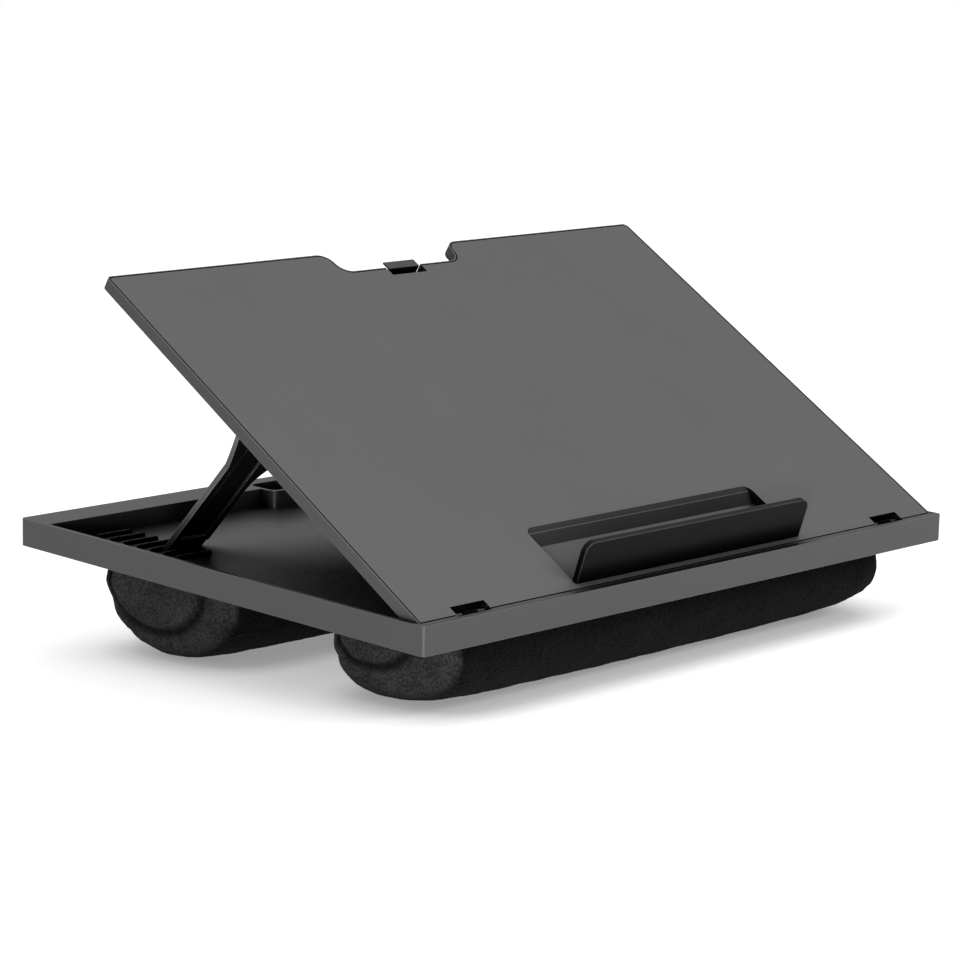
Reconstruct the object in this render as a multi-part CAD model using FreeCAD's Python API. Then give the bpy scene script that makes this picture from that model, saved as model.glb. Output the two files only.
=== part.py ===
import FreeCAD, Part
import math
import os

# Adjustable laptop bed table, in millimetres.
# X runs from left to right, Y from front to rear and Z up. The origin is on the surface that the
# cushions rest on, under the middle of the table.
# The tray has a frame of its own, from its lower front edge, and leans forward by tray_slope.
# The platform, the legs, the flap and the latch are drawn lying flat, and are then turned about
# their pins.

# Driving dimensions of the tray
tray_width = 515.0
tray_depth = 400.0
rim_height = 19.0
tray_slope = 3.8
front_stand_height = 49.5
tray_corner_radius = 4.0
side_wall = 3.0
front_ledge = 6.5
ledge_chamfer = 0.8
floor_top = 5.5
floor_thickness = 2.5
shelf_depth = 29.0
shelf_thickness = 2.5
shelf_wall = 2.5

# Carrying grip in the rear shelf
grip_half_width = 63.0
grip_reach = 13.5
grip_wall = 2.5
grip_outer_radius = 8.0
grip_rear_margin = 13.0

# Base board under the tray
board_recess = 0.5
board_side_gap = 0.5
board_screw_head_radius = 3.0
board_screw_head_height = 1.4
board_screw_shank_radius = 1.25
board_screw_length = 4.3
board_screw_edge = 14.0
board_screw_rows = 4

# Rib racks that the leg feet drop between
rib_count = 7
rib_pitch = 14.2
rib_thickness = 1.5
rib_height = 3.3
rib_corner_radius = 2.2
rear_rib_gap = 9.2
rib_inner_margin = 12.0
rib_outer_margin = 8.0
foot_rib_number = 4

# Platform
platform_side_gap = 0.9
platform_rear_gap = 12.4
platform_thickness = 8.0
platform_tilt = 30.4
platform_corner_radius = 4.0
skirt_wall = 3.4
lip_width = 0.8
groove_width = 1.1
groove_depth = 1.4
panel_thickness = 2.0
web_thickness = 1.2
rib_wall = 1.6
notch_half_width = 47.0
notch_depth = 21.0

# Front hinge
hinge_s = 4.5
hinge_n = -4.2
hinge_edge_y = 7.3
hinge_edge_z = 18.3
hinge_pin_radius = 1.5
hinge_lug_radius = 2.5
hinge_lug_width = 12.0
hinge_lug_web = 3.4
hinge_block = 10.0
window_edge_margin = 47.1
window_width = 29.5
window_depth = 9.0

# Clearances
running_clearance = 0.05
side_clearance = 0.5
seat_clearance = 0.15
overrun = 2.0

# Flap and its pocket
flap_width_share = 0.4365
flap_length = 31.5
flap_thickness = 4.5
flap_knuckle_radius = 3.0
flap_lean = 12.7
flap_corner_radius = 7.5
flap_pin_radius = 0.9
flap_pin_grip = 8.0
flap_front_gap = 0.25
pocket_side_gap = 0.6
pocket_depth = 6.3
pocket_flat_end = 48.2
pocket_length_end = 60.8
pocket_corner_radius = 7.0
pocket_floor = 1.2
pocket_wall = 1.6
pin_block = 10.0
stop_edge_share = 0.4

# Legs
leg_pivot_share = 0.6035
leg_pivot_n = -5.5
leg_thickness = 4.0
leg_edge_margin = 41.6
leg_strap_width = 34.0
leg_flare = 20.0
leg_flare_bow = 1.0
leg_flare_end = 62.0
leg_flare_top = 5.0
leg_inner_flare = 21.5
leg_inner_flare_start = 95.0
leg_inner_flare_end = 62.0
leg_lug_end = 9.0
leg_lug_inset = 2.5
leg_shoulder = 6.0
foot_width = 33.0
foot_thickness = 3.0
leg_recess_depth = 1.5
leg_recess_border = 6.0
leg_recess_start = 16.0
leg_pin_radius = 1.0
bearing_width = 8.0
bearing_length = 16.0
cross_panel_end = 48.0
cross_panel_lip = 5.0
cross_screw_head_radius = 2.4
cross_screw_head_height = 0.9
cross_screw_shank_radius = 1.1
cross_screw_length = 3.2

# Small screws under the platform
small_head_radius = 2.4
small_head_height = 1.3
small_shank_radius = 1.0
panel_screw_bite = 1.3

# Latch
latch_half_width = 14.8
latch_window_half_width = 16.8
latch_window_depth = 8.7
latch_wall = 1.2
latch_bend_radius = 4.8
latch_bend_inset = 3.6
latch_bend_n = -7.4
latch_flange_length = 6.3
latch_flange_thickness = 1.4
latch_hook_depth = 2.2
latch_hook_height = 3.0
latch_split_gap = 0.3
clip_half_width = 11.0
clip_length = 21.6
clip_thickness = 1.5
keeper_half_width = 10.0
keeper_gap = 3.3
keeper_thickness = 5.0
keeper_lip = 1.6
keeper_lip_height = 1.2
keeper_top_z = 16.5

# Cushions
cushion_end_margin = 43.5
cushion_end_rounding = 13.0
cover_thickness = 1.5
floor_flat = 0.5
front_cushion_margin = 16.0
front_cushion_depth = 117.0
rear_cushion_margin = 34.0
rear_cushion_depth = 137.0
cushion_top_draw = 2.5
cushion_low_share = 0.67
cushion_bottom_turn = 45.0
cushion_end_turn_shares = (1.0, 0.66, 0.33, 0.0)

X_AXIS = FreeCAD.Vector(1, 0, 0)
Z_AXIS = FreeCAD.Vector(0, 0, 1)
ORIGIN = FreeCAD.Vector(0, 0, 0)

# Sizes that follow from the ones above
tray_half_width = tray_width / 2
shelf_front_y = tray_depth - shelf_depth
floor_underside = floor_top - floor_thickness
grip_front_y = shelf_front_y - grip_reach
grip_rear_y = tray_depth - grip_rear_margin + grip_wall
plate_half_width = tray_half_width - side_wall - platform_side_gap
platform_length = shelf_front_y - platform_rear_gap - hinge_edge_y
window_centre_x = plate_half_width - window_edge_margin
web_top_n = -panel_thickness
web_bottom_n = web_top_n - web_thickness
panel_inset = lip_width + groove_width
flap_pivot_n = -flap_knuckle_radius
flap_half_width = plate_half_width * flap_width_share
pocket_half_width = flap_half_width + pocket_side_gap
pocket_front_s = hinge_s + flap_front_gap / 2
flap_pivot_s = pocket_front_s + flap_front_gap + flap_knuckle_radius
leg_pivot_s = platform_length * leg_pivot_share
leg_outer_x = plate_half_width - leg_edge_margin
leg_inner_x = leg_outer_x - leg_strap_width
rear_rib_y = shelf_front_y - rear_rib_gap
rib_inner_x = leg_inner_x + rib_inner_margin
rib_outer_x = leg_outer_x + rib_outer_margin
latch_window_start = platform_length - notch_depth - latch_window_depth
latch_bend_s = latch_window_start + latch_bend_inset
latch_rear_s = latch_bend_s + latch_bend_radius
latch_flange_end = latch_rear_s + latch_flange_length
clip_start = latch_window_start - clip_length
keeper_front_y = hinge_edge_y + latch_rear_s + keeper_gap
cushion_half_length = tray_half_width - cushion_end_margin
front_cushion_front_y = front_cushion_margin
front_cushion_rear_y = front_cushion_margin + front_cushion_depth
rear_cushion_rear_y = tray_depth - rear_cushion_margin
rear_cushion_front_y = rear_cushion_rear_y - rear_cushion_depth


def box(low, high):
    """A box between two opposite corners."""
    size = [top - bottom for bottom, top in zip(low, high)]
    return Part.makeBox(size[0], size[1], size[2], FreeCAD.Vector(*low))


def rod(radius, x_from, x_to, y, z):
    """A round bar along X."""
    return Part.makeCylinder(radius, x_to - x_from, FreeCAD.Vector(x_from, y, z), X_AXIS)


def post(radius, x, y, z_from, z_to):
    """A round bar along Z."""
    return Part.makeCylinder(radius, z_to - z_from, FreeCAD.Vector(x, y, z_from), Z_AXIS)


def line(start, end):
    return Part.LineSegment(FreeCAD.Vector(*start), FreeCAD.Vector(*end)).toShape()


def arc(start, middle, end):
    points = [FreeCAD.Vector(*point) for point in (start, middle, end)]
    return Part.Arc(*points).toShape()


def rounded_box(low, high, radius):
    """A box with rounded upright edges."""
    block = box(low, high)
    upright = [edge for edge in block.Edges
               if abs(edge.Vertexes[0].Z - edge.Vertexes[1].Z) > (high[2] - low[2]) / 2]
    return block.makeFillet(radius, upright)


def side_prism(points, x_from, x_to):
    """A prism along X from points given as (y, z)."""
    corners = [FreeCAD.Vector(x_from, y, z) for y, z in points]
    wire = Part.makePolygon(corners + corners[:1])
    return Part.Face(wire).extrude(FreeCAD.Vector(x_to - x_from, 0, 0))


def fuse(shapes):
    whole = shapes[0].multiFuse(shapes[1:]) if len(shapes) > 1 else shapes[0]
    return whole.removeSplitter()


def cut(shape, tools):
    return shape.cut(Part.Compound(tools)) if tools else shape


def mirrored(shape):
    return shape.mirror(ORIGIN, X_AXIS)


def both_sides(shape):
    return [shape, mirrored(shape)]


# Places of the frames in one another

def turned(shape, pivot, degrees):
    """The shape turned about an X axis through the pivot (y, z)."""
    placed = shape.copy()
    placed.rotate(FreeCAD.Vector(0, pivot[0], pivot[1]), X_AXIS, degrees)
    return placed


def in_tray(shape):
    """A shape drawn on the lying platform, put at its tilt in the tray."""
    placed = turned(shape, (0, 0), platform_tilt)
    placed.translate(FreeCAD.Vector(0, hinge_edge_y, hinge_edge_z))
    return placed


def in_row(shape):
    """A shape drawn in the tray's frame, put on the cushions."""
    slope = math.radians(tray_slope)
    middle = (tray_depth * math.cos(slope) - rim_height * math.sin(slope)) / 2
    placed = turned(shape, (0, 0), tray_slope)
    placed.translate(FreeCAD.Vector(0, -middle, front_stand_height))
    return placed


def leg_slope():
    """The legs' slope that lays the back of a foot against its rib."""
    pin_y, pin_z = tray_point(leg_pivot_s, leg_pivot_n)
    reach = rib_y(foot_rib_number) - rib_thickness / 2 - seat_clearance - pin_y
    drop = pin_z - floor_top - seat_clearance
    straight = math.atan2(drop, reach)
    return math.degrees(straight + math.asin(leg_thickness / 2 / math.hypot(reach, drop)))


def leg_in_plate(shape):
    """A leg drawn from its pin along +Y, hung from the lying platform at its working angle."""
    placed = turned(shape, (0, 0), -(leg_slope() + platform_tilt))
    placed.translate(FreeCAD.Vector(0, leg_pivot_s, leg_pivot_n))
    return placed


def flap_in_plate(shape):
    """A flap drawn lying in its pocket from its pin along +Y, swung up."""
    placed = turned(shape, (0, 0), flap_open_angle())
    placed.translate(FreeCAD.Vector(0, flap_pivot_s, flap_pivot_n))
    return placed


def flap_open_angle():
    return 90 - flap_lean


def tray_point(s, n):
    """The tray's (y, z) of a point (s, n) of the platform."""
    tilt = math.radians(platform_tilt)
    y = hinge_edge_y + s * math.cos(tilt) - n * math.sin(tilt)
    z = hinge_edge_z + s * math.sin(tilt) + n * math.cos(tilt)
    return y, z


def row_point(y, z):
    """The row's (y, z) of a point (y, z) of the tray."""
    slope = math.radians(tray_slope)
    middle = (tray_depth * math.cos(slope) - rim_height * math.sin(slope)) / 2
    row_y = y * math.cos(slope) - z * math.sin(slope) - middle
    row_z = y * math.sin(slope) + z * math.cos(slope) + front_stand_height
    return row_y, row_z


# The tray

def grip_outline(inset, z_from, z_to):
    low = (-grip_half_width + inset, grip_front_y + inset, z_from)
    high = (grip_half_width - inset, grip_rear_y - inset, z_to)
    return rounded_box(low, high, grip_outer_radius - inset)


def hinge_lugs():
    pin_y, pin_z = tray_point(hinge_s, hinge_n)
    lugs = []
    for side in (-1, 1):
        x_from = side * window_centre_x - hinge_lug_width / 2
        x_to = x_from + hinge_lug_width
        eye = rod(hinge_lug_radius, x_from, x_to, pin_y, pin_z)
        root_z = floor_top - floor_thickness / 2
        stem = box((x_from, pin_y - hinge_lug_radius, root_z), (x_to, pin_y + hinge_lug_radius, pin_z))
        foot = box((x_from, front_ledge - ledge_chamfer, root_z), (x_to, pin_y, floor_top + hinge_lug_web))
        lugs.append(fuse([eye, stem, foot]))
    return lugs


def hinge_bores():
    pin_y, pin_z = tray_point(hinge_s, hinge_n)
    reach = window_width / 2 + overrun
    return [rod(hinge_pin_radius, side * window_centre_x - reach, side * window_centre_x + reach,
                pin_y, pin_z) for side in (-1, 1)]


def latch_keeper():
    rear_y = keeper_front_y + keeper_thickness
    low_z = floor_top - floor_thickness / 2
    stem = box((-keeper_half_width, keeper_front_y, low_z), (keeper_half_width, rear_y, keeper_top_z))
    lip = box((-keeper_half_width, keeper_front_y - keeper_lip, keeper_top_z - keeper_lip_height),
              (keeper_half_width, rear_y, keeper_top_z))
    return fuse([stem, lip])


def board_screw_places():
    rows = []
    span = tray_depth - 2 * board_screw_edge
    for row in range(board_screw_rows):
        y = board_screw_edge + span * row / (board_screw_rows - 1)
        for side in (-1, 1):
            rows.append((side * (tray_half_width - board_screw_edge), y))
    return rows


def screw_up(x, y, z, head_radius, head_height, shank_radius, length):
    """A countersunk screw driven upwards, with its head's face at z."""
    head = Part.makeCone(head_radius, shank_radius, head_height, FreeCAD.Vector(x, y, z), Z_AXIS)
    shank = post(shank_radius, x, y, z + head_height, z + length)
    return fuse([head, shank])


def board_screws():
    return [screw_up(x, y, board_recess, board_screw_head_radius, board_screw_head_height,
                     board_screw_shank_radius, board_screw_length) for x, y in board_screw_places()]


def screw_bosses():
    """Short bosses above the floor that the board screws end in."""
    return [post(board_screw_head_radius, x, y, floor_top - floor_thickness / 2,
                 floor_top + floor_thickness / 2) for x, y in board_screw_places()[:-2]]


def rear_screw_bosses():
    return [post(board_screw_head_radius, x, y, floor_underside, rim_height - shelf_thickness / 2)
            for x, y in board_screw_places()[-2:]]


def tray_shell():
    shell = rounded_box((-tray_half_width, 0, 0), (tray_half_width, tray_depth, rim_height),
                        tray_corner_radius)
    inner_x = tray_half_width - side_wall
    well = box((-inner_x, front_ledge, floor_top), (inner_x, shelf_front_y, rim_height + overrun))
    recess = box((-inner_x, side_wall, -overrun), (inner_x, tray_depth - side_wall, floor_underside))
    under_shelf = box((-inner_x, shelf_front_y + shelf_wall, 0),
                      (inner_x, tray_depth - side_wall, rim_height - shelf_thickness))
    bevel = side_prism([(front_ledge - ledge_chamfer, rim_height), (front_ledge, rim_height - ledge_chamfer),
                        (front_ledge + overrun, rim_height + overrun), (front_ledge, rim_height + overrun)],
                       -inner_x, inner_x)
    shell = cut(shell, [well, recess, under_shelf, bevel])
    grip = grip_outline(0, floor_underside, rim_height)
    shell = fuse([shell, grip, latch_keeper()] + hinge_lugs() + screw_bosses() + rear_screw_bosses())
    hole = grip_outline(grip_wall, -overrun, rim_height + overrun)
    return cut(shell, [hole] + hinge_bores() + board_screws())


def base_board():
    inner_x = tray_half_width - side_wall - board_side_gap
    board = box((-inner_x, side_wall + board_side_gap, board_recess),
                (inner_x, tray_depth - side_wall - board_side_gap, floor_underside))
    hole = grip_outline(grip_wall, -overrun, rim_height)
    return cut(board, [hole] + board_screws())


def rib_y(number):
    """The middle of a rib, counted from the rear, where the first is 0."""
    return rear_rib_y - number * rib_pitch


def rack(side):
    ribs = []
    for number in range(rib_count):
        y = rib_y(number)
        low = (rib_inner_x, y - rib_thickness / 2, floor_top)
        high = (rib_outer_x, y + rib_thickness / 2, floor_top + rib_height)
        rib = box(low, high)
        inner_top = [edge for edge in rib.Edges if edge.CenterOfMass.x < low[0] + rib_thickness
                     and edge.CenterOfMass.z > high[2] - rib_thickness and abs(edge.Vertexes[0].Y
                     - edge.Vertexes[1].Y) > rib_thickness / 2]
        rib = rib.makeFillet(rib_corner_radius, inner_top)
        ribs.append(rib if side > 0 else mirrored(rib))
    return Part.Compound(ribs)


def hinge_pin(side):
    pin_y, pin_z = tray_point(hinge_s, hinge_n)
    reach = window_width / 2 + hinge_block
    return rod(hinge_pin_radius, side * window_centre_x - reach, side * window_centre_x + reach,
               pin_y, pin_z)


# The platform, lying flat with its front top edge on the X axis

def plate_outline(inset, n_from, n_to):
    """The platform's plan with its rear notch, drawn in by the inset."""
    half = plate_half_width - inset
    rear = platform_length - inset
    corner = platform_corner_radius - min(inset, platform_corner_radius / 2)
    shoulder = notch_depth / 2
    turn_s = platform_length - shoulder
    neck_x = notch_half_width + shoulder + inset
    top_x = notch_half_width + 2 * shoulder
    diagonal = math.sqrt(0.5)
    edges = [line((-half, inset, n_from), (half, inset, n_from))]
    edges.append(line((half, inset, n_from), (half, rear - corner, n_from)))
    edges.append(arc((half, rear - corner, n_from),
                     (half - corner * (1 - diagonal), rear - corner * (1 - diagonal), n_from),
                     (half - corner, rear, n_from)))
    edges.append(line((half - corner, rear, n_from), (top_x, rear, n_from)))
    out = shoulder - inset
    inn = shoulder + inset
    edges.append(arc((top_x, rear, n_from), (top_x - out * diagonal, turn_s + out * diagonal, n_from),
                     (neck_x, turn_s, n_from)))
    edges.append(arc((neck_x, turn_s, n_from),
                     (notch_half_width + inn * diagonal, turn_s - inn * diagonal, n_from),
                     (notch_half_width, turn_s - inn, n_from)))
    edges.append(line((notch_half_width, turn_s - inn, n_from), (-notch_half_width, turn_s - inn, n_from)))
    edges.append(arc((-notch_half_width, turn_s - inn, n_from),
                     (-notch_half_width - inn * diagonal, turn_s - inn * diagonal, n_from),
                     (-neck_x, turn_s, n_from)))
    edges.append(arc((-neck_x, turn_s, n_from), (-top_x + out * diagonal, turn_s + out * diagonal, n_from),
                     (-top_x, rear, n_from)))
    edges.append(line((-top_x, rear, n_from), (-half + corner, rear, n_from)))
    edges.append(arc((-half + corner, rear, n_from),
                     (-half + corner * (1 - diagonal), rear - corner * (1 - diagonal), n_from),
                     (-half, rear - corner, n_from)))
    edges.append(line((-half, rear - corner, n_from), (-half, inset, n_from)))
    return Part.Face(Part.Wire(edges)).extrude(FreeCAD.Vector(0, 0, n_to - n_from))


def hinge_windows():
    windows = []
    for side in (-1, 1):
        x_from = side * window_centre_x - window_width / 2
        windows.append(box((x_from, -overrun, -platform_thickness - overrun),
                           (x_from + window_width, window_depth, overrun)))
    return windows


def latch_window():
    return box((-latch_window_half_width, latch_window_start, -platform_thickness - overrun),
               (latch_window_half_width, platform_length, overrun))


def pocket_space():
    """The flap's pocket: a flat floor, then a ramp up to the plate, with rounded rear corners."""
    sides = [(pocket_front_s, -pocket_depth), (pocket_flat_end, -pocket_depth), (pocket_length_end, 0),
             (pocket_length_end, overrun), (pocket_front_s, overrun)]
    space = side_prism(sides, -pocket_half_width, pocket_half_width)
    plan = rounded_box((-pocket_half_width, pocket_front_s - 2 * pocket_corner_radius, -pocket_depth),
                       (pocket_half_width, pocket_length_end, overrun), pocket_corner_radius)
    return space.common(plan)


def pocket_shell():
    """The walls round the pocket, on the underside of the web."""
    low_n = -pocket_depth - pocket_floor
    sides = [(pocket_front_s - pocket_wall, low_n), (pocket_flat_end + pocket_wall, low_n),
             (pocket_length_end + 2 * pocket_wall, web_top_n), (pocket_front_s - pocket_wall, web_top_n)]
    return side_prism(sides, -pocket_half_width - pocket_wall, pocket_half_width + pocket_wall)


def flap_pin_blocks():
    front = pocket_front_s - pocket_wall
    rear = flap_pivot_s + 2 * flap_knuckle_radius
    outer_x = pocket_half_width + pin_block
    block = box((pocket_half_width, front, -platform_thickness), (outer_x, rear, web_top_n))
    return both_sides(block)


def hinge_pin_blocks():
    blocks = []
    rear = hinge_s + hinge_pin_radius + 2 * hinge_lug_radius
    for side in (-1, 1):
        for edge in (-1, 1):
            near = side * window_centre_x + edge * window_width / 2
            far = near + edge * (hinge_block + overrun)
            blocks.append(box((min(near, far), 0, -platform_thickness), (max(near, far), rear, web_top_n)))
    return blocks


def hinge_block_bores():
    radius = hinge_pin_radius + running_clearance
    reach = window_width / 2 + hinge_block + side_clearance
    return [rod(radius, side * window_centre_x - reach, side * window_centre_x + reach, hinge_s, hinge_n)
            for side in (-1, 1)]


def underside_ribs():
    """Stiffening ribs in the bays that the folded legs leave free."""
    half = rib_wall / 2
    low = -platform_thickness
    ribs = []
    rear_bay_s = leg_pivot_s + bearing_length
    front_bay_s = pocket_length_end + leg_shoulder
    middle_bay_s = leg_pivot_s - cross_panel_end - leg_shoulder
    inner_bay_x = leg_inner_x - leg_inner_flare - leg_shoulder
    skirt_x = plate_half_width - lip_width
    clip_bay_s = clip_start - leg_shoulder
    for s in (rear_bay_s, (rear_bay_s + clip_bay_s) / 2, clip_bay_s):
        ribs.append(box((-skirt_x, s - half, low), (skirt_x, s + half, web_top_n)))
    for s in (front_bay_s, (front_bay_s + middle_bay_s) / 2, middle_bay_s):
        ribs.append(box((-inner_bay_x, s - half, low), (inner_bay_x, s + half, web_top_n)))
    for x in (0, inner_bay_x / 3, inner_bay_x * 2 / 3, inner_bay_x):
        for side in ((-1, 1) if x else (1,)):
            place = side * x
            ribs.append(box((place - half, front_bay_s, low), (place + half, middle_bay_s, web_top_n)))
            ribs.append(box((place - half, rear_bay_s, low), (place + half, clip_bay_s, web_top_n)))
    return ribs


def platform_frame():
    body = plate_outline(0, -platform_thickness, 0)
    inside = plate_outline(skirt_wall, -platform_thickness - overrun, web_bottom_n)
    seat = plate_outline(panel_inset, web_top_n, overrun)
    groove = plate_outline(lip_width, -groove_depth, overrun)
    body = cut(body, [inside, seat, groove])
    wall_x = latch_window_half_width + skirt_wall
    wall_rear = platform_length - notch_depth - panel_inset
    notch_wall = box((-wall_x, latch_window_start - skirt_wall, -platform_thickness),
                     (wall_x, wall_rear, web_top_n))
    notch_wall = notch_wall.cut(clip_room())
    added = [pocket_shell(), notch_wall] + flap_pin_blocks() + hinge_pin_blocks() + underside_ribs()
    body = fuse([body] + added)
    tools = [pocket_space(), latch_window()] + hinge_windows() + hinge_block_bores()
    tools = tools + [flap_pin(side) for side in (-1, 1)] + bearing_screws() + panel_screws() + clip_screws()
    return cut(body, tools)


def clip_room():
    """The space that the latch clip fills in front of its window."""
    reach = clip_half_width + side_clearance
    return box((-reach, clip_start, -platform_thickness - overrun),
               (reach, latch_window_start, web_bottom_n))


def panel_edge_stop():
    """The part of the pocket's front edge that the open flap lands on."""
    lean = math.tan(math.radians(flap_lean))
    depth = panel_thickness * stop_edge_share
    face_s = flap_pivot_s - flap_knuckle_radius / math.cos(math.radians(flap_lean)) - flap_pivot_n * lean
    rear_s = face_s - running_clearance
    return side_prism([(pocket_front_s - pocket_wall, -depth), (rear_s - depth * lean, -depth), (rear_s, 0),
                       (pocket_front_s - pocket_wall, 0)], -pocket_half_width, pocket_half_width)


def platform_top_panel():
    panel = plate_outline(panel_inset, web_top_n, 0)
    panel = cut(panel, [pocket_space(), latch_window()] + hinge_windows())
    panel = fuse([panel, panel_edge_stop()])
    return cut(panel, bearing_screws() + panel_screws() + clip_screws())


# Screws under the platform

def bearing_places():
    """The middles of the bearings of the right leg."""
    lug_inner_x = leg_inner_x - leg_lug_inset
    outer = leg_outer_x + leg_flare + side_clearance + bearing_width / 2
    inner = lug_inner_x - side_clearance - bearing_width / 2
    return inner, outer


def bearing_screws():
    screws = []
    length = platform_thickness - panel_thickness + panel_screw_bite
    for side in (-1, 1):
        for x in bearing_places():
            for end in (-1, 1):
                s = leg_pivot_s + end * (bearing_length / 2 - small_head_radius - side_clearance)
                screws.append(screw_up(side * x, s, -platform_thickness, small_head_radius, small_head_height,
                                       small_shank_radius, length))
    return screws


def panel_screws():
    """Screws that hold the top panel on the web."""
    screws = []
    length = small_head_height + web_thickness + panel_screw_bite
    edge_x = plate_half_width - skirt_wall - 2 * small_head_radius
    rear_s = platform_length - skirt_wall - 2 * small_head_radius
    front_s = pocket_flat_end
    for x in (edge_x, notch_half_width + notch_depth + 2 * skirt_wall):
        for side in (-1, 1):
            screws.append((side * x, rear_s))
    for s in (front_s, leg_pivot_s - cross_panel_end, leg_pivot_s + 2 * bearing_length):
        for side in (-1, 1):
            screws.append((side * edge_x, s))
    return [screw_up(x, s, web_bottom_n - small_head_height, small_head_radius, small_head_height,
                     small_shank_radius, length) for x, s in screws]


def clip_screws():
    s = clip_start + 3 * small_head_radius
    length = clip_thickness + web_thickness + panel_screw_bite
    return [screw_up(side * (clip_half_width - small_head_radius * 2), s, web_bottom_n - clip_thickness,
                     small_head_radius, small_head_height, small_shank_radius, length) for side in (-1, 1)]


def leg_bearing(number):
    """One of the four blocks that hold the leg pins."""
    side = -1 if number < 2 else 1
    x = side * bearing_places()[number % 2]
    block = box((x - bearing_width / 2, leg_pivot_s - bearing_length / 2, -platform_thickness),
                (x + bearing_width / 2, leg_pivot_s + bearing_length / 2, web_bottom_n))
    return cut(block, [leg_pin(side)] + bearing_screws())


def leg_pin(side):
    inner, outer = bearing_places()
    pin = rod(leg_pin_radius, inner - bearing_width / 4, outer + bearing_width / 4, leg_pivot_s, leg_pivot_n)
    return pin if side > 0 else mirrored(pin)


# The legs, drawn from their pin along +Y with the outer side up

def foot_length():
    """From the pin to the floor of the tray, along the middle of a leg."""
    pin_z = tray_point(leg_pivot_s, leg_pivot_n)[1]
    return (pin_z - floor_top - seat_clearance) / math.sin(math.radians(leg_slope()))


def leg_plan(w_from, w_to):
    """The right leg's plan: a strap that flares at its pin and narrows to a foot."""
    end = foot_length() + leg_thickness
    lug_x = leg_inner_x - leg_lug_inset
    top_x = leg_outer_x + leg_flare
    shoulder_u = foot_length() - leg_shoulder - rib_height
    foot_outer = (leg_outer_x + leg_inner_x + foot_width) / 2
    foot_inner = foot_outer - foot_width
    flare_x = leg_inner_x - leg_inner_flare
    middle_u = (leg_flare_top + leg_flare_end) / 2
    middle_x = (top_x + leg_outer_x) / 2
    edges = [line((lug_x, 0, w_from), (top_x, 0, w_from))]
    edges.append(line((top_x, 0, w_from), (top_x, leg_flare_top, w_from)))
    edges.append(arc((top_x, leg_flare_top, w_from), (middle_x - leg_flare_bow, middle_u, w_from),
                     (leg_outer_x, leg_flare_end, w_from)))
    edges.append(line((leg_outer_x, leg_flare_end, w_from), (leg_outer_x, shoulder_u, w_from)))
    edges.append(line((leg_outer_x, shoulder_u, w_from), (foot_outer, shoulder_u, w_from)))
    edges.append(line((foot_outer, shoulder_u, w_from), (foot_outer, end, w_from)))
    edges.append(line((foot_outer, end, w_from), (foot_inner, end, w_from)))
    edges.append(line((foot_inner, end, w_from), (foot_inner, shoulder_u, w_from)))
    edges.append(line((foot_inner, shoulder_u, w_from), (leg_inner_x, shoulder_u, w_from)))
    edges.append(line((leg_inner_x, shoulder_u, w_from), (leg_inner_x, leg_inner_flare_start, w_from)))
    run = leg_inner_flare_start - leg_inner_flare_end
    edges.append(arc((leg_inner_x, leg_inner_flare_start, w_from),
                     (leg_inner_x - leg_inner_flare / 3, leg_inner_flare_end + run / 3, w_from),
                     (flare_x, leg_inner_flare_end, w_from)))
    edges.append(line((flare_x, leg_inner_flare_end, w_from), (flare_x, leg_lug_end, w_from)))
    edges.append(line((flare_x, leg_lug_end, w_from), (lug_x, leg_lug_end, w_from)))
    edges.append(line((lug_x, leg_lug_end, w_from), (lug_x, 0, w_from)))
    return Part.Face(Part.Wire(edges)).extrude(FreeCAD.Vector(0, 0, w_to - w_from))


def leg(side):
    half = leg_thickness / 2
    lug_x = leg_inner_x - leg_lug_inset
    knuckle = rod(half, lug_x, leg_outer_x + leg_flare, 0, 0)
    body = fuse([leg_plan(-half, half), knuckle])
    length = foot_length()
    shoulder_u = length - leg_shoulder - rib_height
    recess = box((leg_inner_x + leg_recess_border, leg_recess_start, -half - overrun),
                 (leg_outer_x - leg_recess_border, shoulder_u - leg_recess_border, -half + leg_recess_depth))
    flare_recess = box((leg_inner_x - leg_inner_flare, leg_lug_end - overrun, 0),
                       (leg_inner_x - leg_lug_inset, cross_panel_end + side_clearance, half + overrun))
    thin_foot = box((leg_inner_x - overrun, shoulder_u, -half - overrun),
                    (leg_outer_x + overrun, length + 2 * leg_thickness, half - foot_thickness))
    bore = rod(leg_pin_radius + running_clearance, lug_x - overrun, leg_outer_x + leg_flare + overrun, 0, 0)
    body = cut(body, [recess, flare_recess, thin_foot, bore] + cross_screws())
    body = body.cut(floor_cutter())
    return body if side > 0 else mirrored(body)


def floor_cutter():
    """What lies under the foot: the tray's floor, seen from the leg, which slopes by the legs' slope."""
    depth = 4 * leg_thickness
    cutter = box((rib_inner_x - depth, -foot_length(), -depth), (rib_outer_x + depth, foot_length(), 0))
    cutter = turned(cutter, (0, 0), leg_slope())
    cutter.translate(FreeCAD.Vector(0, foot_length(), 0))
    return cutter


def cross_screw_places():
    """Places of the screws that join the cross panel to the right leg."""
    x = leg_inner_x - (leg_inner_flare + leg_lug_inset) / 2
    first = leg_lug_end + 2 * cross_screw_head_radius
    return [(x, first), (x, cross_panel_end - 2 * cross_screw_head_radius)]


def cross_screws():
    half = leg_thickness / 2
    screws = []
    for x, u in cross_screw_places():
        for side in (-1, 1):
            screws.append(screw_up(side * x, u, -half, cross_screw_head_radius, cross_screw_head_height,
                                   cross_screw_shank_radius, cross_screw_length))
    return screws


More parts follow.
